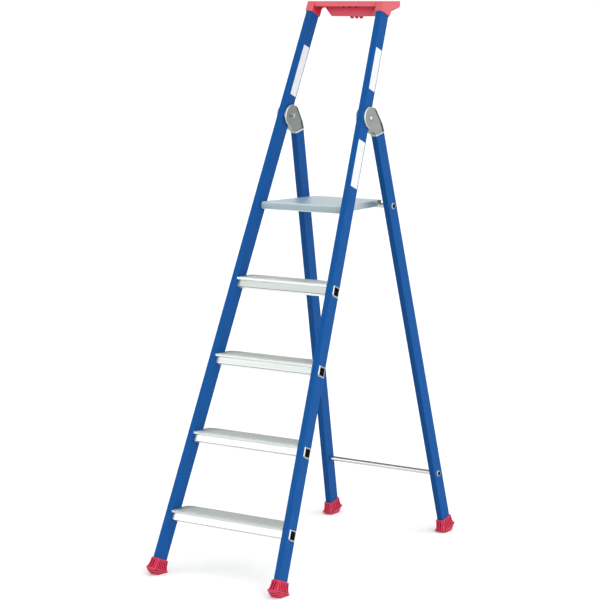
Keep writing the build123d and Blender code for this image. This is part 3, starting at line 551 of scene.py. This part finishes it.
def extruded_aluminium(name, colour, smooth, rough, dark, dark_colour, blunt=None):
    """Mill-finish extruded aluminium: bright metal with die lines along its length, and ends painted
    darker as shade.

    Die lines are finer than 0.3 mm and are drawn 1.5 mm wide, as coarse as they need to show. The places
    painted dark as shade, such as bores, come from a function that gives their mask, and so do places
    that are blunt from wear, where the metal is rougher.
    """
    material, tree, shader = new_material(name)
    line_width = 1.5 * MM
    line_length = 500 * MM
    line_shade = 0.88
    place = add_node(tree, "ShaderNodeTexCoord").outputs["Object"]
    stretched = add_node(tree, "ShaderNodeMapping", {}, {
        "Vector": place,
        "Scale": (1 / line_length, 1 / line_width, 1 / line_width),
    })
    lines = add_node(tree, "ShaderNodeTexNoise", {}, {
        "Vector": stretched.outputs["Vector"],
        "Scale": 1.0,
        "Detail": 3.0,
    })
    shade = add_node(tree, "ShaderNodeValToRGB", {}, {"Fac": lines.outputs["Fac"]})
    shade.color_ramp.elements[0].position = NOISE_DARK
    shade.color_ramp.elements[0].color = (*(np.array(colour) * line_shade), 1)
    shade.color_ramp.elements[1].position = NOISE_LIGHT
    shade.color_ramp.elements[1].color = (*colour, 1)
    # Painted shade: faces that look sideways, such as the ends, are mixed part way to the dark colour
    ends = add_node(tree, "ShaderNodeMath", {"operation": "MULTIPLY"}, {
        0: sideness(tree),
        1: END_SHADE,
    })
    dull = add_node(tree, "ShaderNodeMath", {"operation": "MAXIMUM"}, {
        0: dark(tree, place),
        1: ends.outputs["Value"],
    })
    skin = add_node(tree, "ShaderNodeMix", {"data_type": "RGBA"}, {
        MIX_FACTOR: dull.outputs["Value"],
        MIX_FIRST: shade.outputs["Color"],
        MIX_SECOND: linear(dark_colour),
    })
    gloss = add_node(tree, "ShaderNodeMapRange", {}, {
        "Value": lines.outputs["Fac"],
        "To Min": smooth,
        "To Max": rough,
    })
    bump = add_node(tree, "ShaderNodeBump", {}, {
        "Strength": 0.12,
        "Distance": 0.08 * MM,
        "Height": lines.outputs["Fac"],
    })
    roughness = gloss.outputs["Result"]
    if blunt:
        worn = add_node(tree, "ShaderNodeMath", {"operation": "MULTIPLY_ADD"}, {
            0: blunt(tree),
            1: BLUNT_ROUGHNESS,
            2: roughness,
        })
        roughness = worn.outputs["Value"]
    tree.links.new(skin.outputs[MIX_RESULT], shader.inputs["Base Color"])
    tree.links.new(roughness, shader.inputs["Roughness"])
    tree.links.new(bump.outputs["Normal"], shader.inputs["Normal"])
    shader.inputs["Metallic"].default_value = 1.0
    return material


def side_beyond(tree, place, direction, start):
    """One on sideways faces further from the hinge in a direction than the start, else nought."""
    from_hinge = add_node(tree, "ShaderNodeVectorMath", {"operation": "SUBTRACT"}, {0: place, 1: HINGE})
    run = add_node(tree, "ShaderNodeVectorMath", {"operation": "DOT_PRODUCT"}, {
        0: from_hinge.outputs["Vector"],
        1: direction,
    })
    beyond = add_node(tree, "ShaderNodeMath", {"operation": "GREATER_THAN"}, {
        0: run.outputs["Value"],
        1: start,
    })
    both = add_node(tree, "ShaderNodeMath", {"operation": "MULTIPLY"}, {
        0: beyond.outputs["Value"],
        1: sideways(tree),
    })
    return both.outputs["Value"]


def collar_lip(tree, place):
    """One on the sides of the hinge heads' collar lips, furthest down the legs, and nought elsewhere."""
    return side_beyond(tree, place, (0, sin(LEG_LEAN), -cos(LEG_LEAN)), LIP_START)


def rear_strip(tree, place):
    """One on the bevelled strip along the hinge heads' rear edges and nought elsewhere.

    The strip is what lies within its width of the straight line from shoulder to heel.
    """
    run_back = HEEL[0] - SHOULDER[0]
    drop = SHOULDER[1] - HEEL[1]
    tilt = LEG_LEAN + atan2(run_back, drop)
    edge = (SHOULDER[0] * drop + SHOULDER[1] * run_back) / hypot(run_back, drop)
    return side_beyond(tree, place, (0, cos(tilt), sin(tilt)), edge - STRIP_WIDTH)


def inner_cheek(tree, place):
    """One on faces that look sideways to the ladder's middle plane and nought elsewhere.

    There the place and the normal have opposite signs across the ladder.
    """
    normal = add_node(tree, "ShaderNodeTexCoord").outputs["Normal"]
    product = add_node(tree, "ShaderNodeVectorMath", {"operation": "MULTIPLY"}, {0: place, 1: normal})
    across = add_node(tree, "ShaderNodeSeparateXYZ", {}, {"Vector": product.outputs["Vector"]})
    inward = add_node(tree, "ShaderNodeMath", {"operation": "LESS_THAN"}, {
        0: across.outputs["X"],
        1: -PIVOT_SPREAD / 2,
    })
    return inward.outputs["Value"]


def cast_aluminium(name, colour):
    """Die-cast, shot-blasted aluminium: a dull grey metal with a fine pebbled skin.

    Shot leaves dimples of about 0.4 mm, drawn at 1.5 mm so that they show. The chamfers and the sides of
    the lip round the leg take a painted highlight, the inner cheeks are painted darker as shade, and the
    bevelled strip along the rear edge is painted dark grey.
    """
    material, tree, shader = new_material(name)
    dimple = 1.5 * MM
    dimple_shade, cheek_shade = 0.75, 0.66
    place = add_node(tree, "ShaderNodeTexCoord").outputs["Object"]
    skin = add_node(tree, "ShaderNodeTexNoise", {}, {
        "Vector": place,
        "Scale": 1 / dimple,
        "Detail": 4.0,
    })
    shade = add_node(tree, "ShaderNodeValToRGB", {}, {"Fac": skin.outputs["Fac"]})
    shade.color_ramp.elements[0].position = NOISE_DARK
    shade.color_ramp.elements[0].color = (*(np.array(colour) * dimple_shade), 1)
    shade.color_ramp.elements[1].position = NOISE_LIGHT
    shade.color_ramp.elements[1].color = (*colour, 1)
    # Painted shade: the inner cheeks are mixed towards a darker copy of the colour
    dull = add_node(tree, "ShaderNodeMix", {"data_type": "RGBA"}, {
        MIX_FACTOR: inner_cheek(tree, place),
        MIX_FIRST: shade.outputs["Color"],
        MIX_SECOND: (*(np.array(colour) * cheek_shade), 1),
    })
    # Painted highlight: chamfers, found by their slant, are mixed to a light grey
    chamfer = add_node(tree, "ShaderNodeMath", {"operation": "COMPARE"}, {
        0: sideness(tree),
        1: CHAMFER_TILT,
        2: CHAMFER_SPAN,
    })
    worn = add_node(tree, "ShaderNodeMix", {"data_type": "RGBA"}, {
        MIX_FACTOR: chamfer.outputs["Value"],
        MIX_FIRST: dull.outputs[MIX_RESULT],
        MIX_SECOND: linear("#bcc4c7"),
    })
    # The bevelled strip along the rear edge is painted dark grey
    stripped = add_node(tree, "ShaderNodeMix", {"data_type": "RGBA"}, {
        MIX_FACTOR: rear_strip(tree, place),
        MIX_FIRST: worn.outputs[MIX_RESULT],
        MIX_SECOND: linear("#4b4d4a"),
    })
    # Painted highlight: the sides of the collar lips are mixed to a light grey
    lipped = add_node(tree, "ShaderNodeMix", {"data_type": "RGBA"}, {
        MIX_FACTOR: collar_lip(tree, place),
        MIX_FIRST: stripped.outputs[MIX_RESULT],
        MIX_SECOND: linear("#cdd1d4"),
    })
    gloss = add_node(tree, "ShaderNodeMapRange", {}, {
        "Value": skin.outputs["Fac"],
        "To Min": 0.36,
        "To Max": 0.56,
    })
    bump = add_node(tree, "ShaderNodeBump", {}, {
        "Strength": 0.35,
        "Distance": 0.2 * MM,
        "Height": skin.outputs["Fac"],
    })
    tree.links.new(lipped.outputs[MIX_RESULT], shader.inputs["Base Color"])
    tree.links.new(gloss.outputs["Result"], shader.inputs["Roughness"])
    tree.links.new(bump.outputs["Normal"], shader.inputs["Normal"])
    shader.inputs["Metallic"].default_value = 1.0
    return material


def zinc_steel(name):
    """Zinc-plated steel: a bright grey metal with a faintly cloudy plating."""
    material, tree, shader = new_material(name)
    cloud = 6 * MM
    place = add_node(tree, "ShaderNodeTexCoord").outputs["Object"]
    plating = add_node(tree, "ShaderNodeTexNoise", {}, {
        "Vector": place,
        "Scale": 1 / cloud,
        "Detail": 3.0,
    })
    shade = add_node(tree, "ShaderNodeValToRGB", {}, {"Fac": plating.outputs["Fac"]})
    shade.color_ramp.elements[0].color = linear("#a9abaa")
    shade.color_ramp.elements[1].color = linear("#d3d3cf")
    gloss = add_node(tree, "ShaderNodeMapRange", {}, {
        "Value": plating.outputs["Fac"],
        "To Min": 0.22,
        "To Max": 0.4,
    })
    tree.links.new(shade.outputs["Color"], shader.inputs["Base Color"])
    tree.links.new(gloss.outputs["Result"], shader.inputs["Roughness"])
    shader.inputs["Metallic"].default_value = 1.0
    return material


def black_nylon(name):
    """Moulded nylon of the bearings: near black, with a dull even gloss."""
    material, tree, shader = new_material(name)
    grain = 0.8 * MM
    place = add_node(tree, "ShaderNodeTexCoord").outputs["Object"]
    fine = add_node(tree, "ShaderNodeTexNoise", {}, {
        "Vector": place,
        "Scale": 1 / grain,
        "Detail": 2.0,
    })
    gloss = add_node(tree, "ShaderNodeMapRange", {}, {
        "Value": fine.outputs["Fac"],
        "To Min": 0.4,
        "To Max": 0.6,
    })
    tree.links.new(gloss.outputs["Result"], shader.inputs["Roughness"])
    shader.inputs["Base Color"].default_value = linear("#1d1d1f")
    return material


def label_film(name):
    """Glossy white polyester film: bright, smooth, with the faint ripple of a stuck-on foil."""
    material, tree, shader = new_material(name)
    ripple = 18 * MM
    place = add_node(tree, "ShaderNodeTexCoord").outputs["Object"]
    wave = add_node(tree, "ShaderNodeTexNoise", {}, {
        "Vector": place,
        "Scale": 1 / ripple,
        "Detail": 2.0,
    })
    shade = add_node(tree, "ShaderNodeValToRGB", {}, {"Fac": wave.outputs["Fac"]})
    shade.color_ramp.elements[0].color = linear("#cbced1")
    shade.color_ramp.elements[1].color = linear("#d8dadb")
    bump = add_node(tree, "ShaderNodeBump", {}, {
        "Strength": 0.1,
        "Distance": 0.1 * MM,
        "Height": wave.outputs["Fac"],
    })
    tree.links.new(shade.outputs["Color"], shader.inputs["Base Color"])
    tree.links.new(bump.outputs["Normal"], shader.inputs["Normal"])
    shader.inputs["Roughness"].default_value = 0.22
    return material


def closed_sheet(name, top, bottom):
    """A closed thin shell from two grids of points that share their border.

    Both grids are arrays of rows by columns by xyz; the rim joins each border point of the top to the
    bottom's, so that the shell has no open edge.
    """
    rows, columns = top.shape[:2]
    count = rows * columns
    index = np.arange(count).reshape(rows, columns)
    corners = (index[:-1, :-1], index[:-1, 1:], index[1:, 1:], index[1:, :-1])
    upper = np.stack([corner.ravel() for corner in corners], axis=1)
    lower = upper[:, ::-1] + count
    border = np.concatenate([index[0, :-1], index[:-1, -1], index[-1, :0:-1], index[:0:-1, 0]])
    after = np.roll(border, -1)
    rim = np.stack([after, border, border + count, after + count], axis=1)
    mesh = bpy.data.meshes.new(name)
    points = np.concatenate([top.reshape(-1, 3), bottom.reshape(-1, 3)])
    mesh.from_pydata(points.tolist(), [], np.concatenate([upper, lower, rim]).tolist())
    mesh.shade_smooth()
    piece = bpy.data.objects.new(name, mesh)
    bpy.context.scene.collection.objects.link(piece)
    return piece


def stile_place(side, out, along, back):
    """Points on a stile: out from its middle plane, along it from the hinge axis, and behind that axis.

    side is 1 on the right and -1 on the left. The three distances are measured along the stile's own
    outward, upward and backward directions, which lean with the stile.
    """
    up = np.array([0, sin(STILE_LEAN), cos(STILE_LEAN)])
    backward = np.array([0, cos(STILE_LEAN), -sin(STILE_LEAN)])
    outward = np.array([1, 0, 0]) * cos(SIDE_TAPER) + up * sin(SIDE_TAPER)
    upward = up * cos(SIDE_TAPER) - np.array([1, 0, 0]) * sin(SIDE_TAPER)
    origin = np.array([PIVOT_SPREAD, HINGE[1], HINGE[2]])
    out, along, back = (np.asarray(value)[..., None] for value in (out, along, back))
    points = origin + out * outward + along * upward + back * backward
    return points * np.array([side, 1, 1])


class LADDER_OT_fibreglass(bpy.types.Operator):
    """Dress the stiles and legs in blue fibreglass"""

    bl_idname = "ladder.fibreglass"
    bl_label = "Stiles and legs"

    def execute(self, context):
        blue = tuple(context.scene.ladder_finish.blue)
        dress(STILES, fibreglass("blue_pultruded_fibreglass_stiles", blue, STILE_LEAN))
        dress(LEGS, fibreglass("blue_pultruded_fibreglass_legs", blue, -LEG_LEAN))
        return {"FINISHED"}


class LADDER_OT_mouldings(bpy.types.Operator):
    """Dress the tray and feet in red plastic"""

    bl_idname = "ladder.mouldings"
    bl_label = "Tray and feet"

    def execute(self, context):
        finish = context.scene.ladder_finish
        dress(("top_tray",), moulded_plastic(
            "red_moulded_polypropylene_tray",
            deep=tuple(finish.tray_recess_shade),
            faded=tuple(finish.tray_open),
            recess=80 * MM,
        ))
        dress(FEET, moulded_plastic(
            "red_moulded_polypropylene_feet",
            deep=tuple(finish.foot_recess_shade),
            faded=tuple(finish.foot_open),
            recess=10 * MM,
        ))
        return {"FINISHED"}


class LADDER_OT_metal(bpy.types.Operator):
    """Dress the steps, platform, tubes, castings and fittings"""

    bl_idname = "ladder.metal"
    bl_label = "Metal pieces"

    def execute(self, context):
        finish = context.scene.ladder_finish
        # Painted shade: the steps' dark colour is painted in their chambers, on treads, lower front
        # edges and rims
        dress(STEPS, extruded_aluminium(
            "mill_finish_extruded_aluminium",
            colour=tuple(finish.tread_metal),
            smooth=0.3,
            rough=0.45,
            dark=step_painted_shade,
            dark_colour="#22282b",
        ))
        # Painted shade: the platform's grey-green dark colour goes on its hook's ends and its nose
        dress(("platform_deck",), extruded_aluminium(
            "matt_extruded_aluminium",
            colour=tuple(finish.deck_metal),
            smooth=0.36,
            rough=0.5,
            dark=platform_painted_shade,
            dark_colour="#5d635c",
            blunt=blunt_nose,
        ))
        # Painted shade: the inside of each tube's bore is painted near black
        for tube in TUBES:
            dress((tube,), extruded_aluminium(
                f"drawn_aluminium_{tube}",
                colour=tuple(finish.tube_metal),
                smooth=0.2,
                rough=0.32,
                dark=partial(tube_bore, tube=tube),
                dark_colour="#141414",
            ))
        dress(CASTINGS, cast_aluminium("shot_blasted_cast_aluminium", tuple(finish.cast_metal)))
        dress(FITTINGS, zinc_steel("zinc_plated_steel"))
        dress(BEARINGS, black_nylon("black_moulded_nylon"))
        return {"FINISHED"}


class LADDER_OT_label_plates(bpy.types.Operator):
    """Make the bare white label plates on the stiles"""

    bl_idname = "ladder.label_plates"
    bl_label = "Label plates"

    def execute(self, context):
        sizes = context.scene.ladder_plates
        film = label_film("white_polyester_label_film")
        for name, side, face, low, high, front in PLATES:
            piece = self.make_plate(name, side, face, (low, high), (front, sizes.rear_edge), sizes)
            piece.data.materials.append(film)
            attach(piece, "front_frame")
        return {"FINISHED"}

    def make_plate(self, name, side, face, ends, edges, sizes):
        """A film whose outline is a rounded rectangle and whose thickness falls to nothing at its edge.

        A square grid from -1 to 1, closer at its border, is drawn in at its corners by a power of the
        product of its two coordinates, so that the border becomes a rectangle with rounded corners. The
        height is the thickness times what a power of the greater coordinate leaves of one.
        """
        points_across, points_along = 25, 61
        corner_power, edge_power = 8, 16
        across, along = np.meshgrid(
            np.sin(np.linspace(-1, 1, points_across) * np.pi / 2),
            np.sin(np.linspace(-1, 1, points_along) * np.pi / 2),
            indexing="ij",
        )
        inset = sizes.corner * (1 - sqrt(0.5)) * (across * along) ** corner_power
        back = np.mean(edges) - PIVOT_SETBACK + across * (np.ptp(edges) / 2 - inset)
        place = np.mean(ends) + along * (np.ptp(ends) / 2 - inset)
        edge = np.maximum(np.abs(across), np.abs(along)) ** edge_power
        skin = STILE_HALF_WIDTH + sizes.thickness * (1 - edge)
        top = stile_place(side, face * skin, place, back)
        bottom = stile_place(side, np.full_like(skin, face * STILE_HALF_WIDTH), place, back)
        if side * face > 0:
            top, bottom = top[::-1], bottom[::-1]
        return closed_sheet(name, top, bottom)


class LADDER_OT_stage(bpy.types.Operator):
    """Set up the floor, the light and the camera"""

    bl_idname = "ladder.stage"
    bl_label = "Studio"

    def execute(self, context):
        stage = context.scene.ladder_stage
        self.floor(context.scene)
        self.surround(context.scene, stage)
        self.lights(context.scene, stage)
        self.camera(context.scene, stage)
        context.scene.view_settings.view_transform = "Standard"
        return {"FINISHED"}

    def floor(self, scene):
        """A flat pale floor, one large square at height nought."""
        mesh = bpy.data.meshes.new("studio_floor")
        corners = [(x * FLOOR_HALF, y * FLOOR_HALF, 0) for x, y in ((-1, -1), (1, -1), (1, 1), (-1, 1))]
        mesh.from_pydata(corners, [], [(0, 1, 2, 3)])
        piece = bpy.data.objects.new("studio_floor", mesh)
        scene.collection.objects.link(piece)
        material, _, shader = new_material("white_studio_paint")
        shader.inputs["Base Color"].default_value = linear("#ffffff")
        shader.inputs["Roughness"].default_value = 0.9
        shader.inputs["Specular IOR Level"].default_value = 0.1
        mesh.materials.append(material)

    def surround(self, scene, stage):
        """A white surround that is brightest at eye level and dims overhead."""
        world = bpy.data.worlds.new("studio_surround")
        world.use_nodes = True
        tree = world.node_tree
        direction = add_node(tree, "ShaderNodeTexCoord").outputs["Generated"]
        parts = add_node(tree, "ShaderNodeSeparateXYZ", {}, {"Vector": direction})
        height = add_node(tree, "ShaderNodeMapRange", {"interpolation_type": "SMOOTHSTEP"}, {
            "Value": parts.outputs["Z"],
            "From Min": 0.12,
            "From Max": 0.5,
            "To Min": stage.horizon,
            "To Max": stage.zenith,
        })
        tree.links.new(height.outputs["Result"], tree.nodes["Background"].inputs["Strength"])
        tree.nodes["Background"].inputs["Color"].default_value = (1, 1, 1, 1)
        scene.world = world

    def lights(self, scene, stage):
        """A wide soft key from high on the right, and a large and a small softbox at the front."""
        key = bpy.data.lights.new("key_light", "SUN")
        key.energy = stage.key
        key.angle = KEY_SPREAD
        left = bpy.data.lights.new("left_softbox", "AREA")
        left.energy = stage.left_softbox
        left.size = LEFT_SOFTBOX_WIDTH
        right = bpy.data.lights.new("right_softbox", "AREA")
        right.energy = stage.right_softbox
        right.size = RIGHT_SOFTBOX_WIDTH
        places = (KEY_PLACE, LEFT_SOFTBOX_PLACE, RIGHT_SOFTBOX_PLACE)
        for light, place in zip((key, left, right), places):
            lamp = bpy.data.objects.new(light.name, light)
            lamp.location = place
            lamp.rotation_euler = (place - AIM).to_track_quat("Z", "Y").to_euler()
            lamp.visible_camera = False
            scene.collection.objects.link(lamp)

    def camera(self, scene, stage):
        """The photograph's view: from the front right, as high as the ladder, looking slightly down."""
        data = bpy.data.cameras.new("camera")
        data.lens = stage.focal_length
        data.sensor_width = SENSOR_WIDTH
        data.clip_end = VIEW_LIMIT
        camera = bpy.data.objects.new("camera", data)
        camera.location = Vector((0, HINGE[1], HINGE[2])) + Vector(stage.camera_place)
        camera.rotation_euler = (radians(90) - stage.elevation, 0, stage.azimuth)
        scene.collection.objects.link(camera)
        scene.camera = camera


class LADDER_PT_panel(bpy.types.Panel):
    """Ladder finish and studio"""

    bl_idname = "LADDER_PT_panel"
    bl_label = "Step ladder"
    bl_space_type = "VIEW_3D"
    bl_region_type = "UI"
    bl_category = "Ladder"

    def draw(self, context):
        for group, kind in GROUPS.items():
            for name in kind.__annotations__:
                self.layout.prop(getattr(context.scene, group), name)
        for operator in OPERATORS:
            self.layout.operator(operator.bl_idname)


OPERATORS = (
    LADDER_OT_fibreglass,
    LADDER_OT_mouldings,
    LADDER_OT_metal,
    LADDER_OT_label_plates,
    LADDER_OT_stage,
)
GROUPS = {
    "ladder_finish": LadderFinish,
    "ladder_plates": LadderPlates,
    "ladder_stage": LadderStage,
}


def register():
    """Add the ladder's classes and settings."""
    for kind in (*GROUPS.values(), *OPERATORS, LADDER_PT_panel):
        bpy.utils.register_class(kind)
    for name, kind in GROUPS.items():
        setattr(bpy.types.Scene, name, bpy.props.PointerProperty(type=kind))


def unregister():
    """Remove the ladder's settings and classes."""
    for name in GROUPS:
        delattr(bpy.types.Scene, name)
    for kind in reversed((*GROUPS.values(), *OPERATORS, LADDER_PT_panel)):
        bpy.utils.unregister_class(kind)


def main():
    """Dress the ladder and set up its studio."""
    register()
    bpy.ops.ladder.fibreglass()
    bpy.ops.ladder.mouldings()
    bpy.ops.ladder.metal()
    bpy.ops.ladder.label_plates()
    bpy.ops.ladder.stage()


if __name__ == "__main__":
    main()
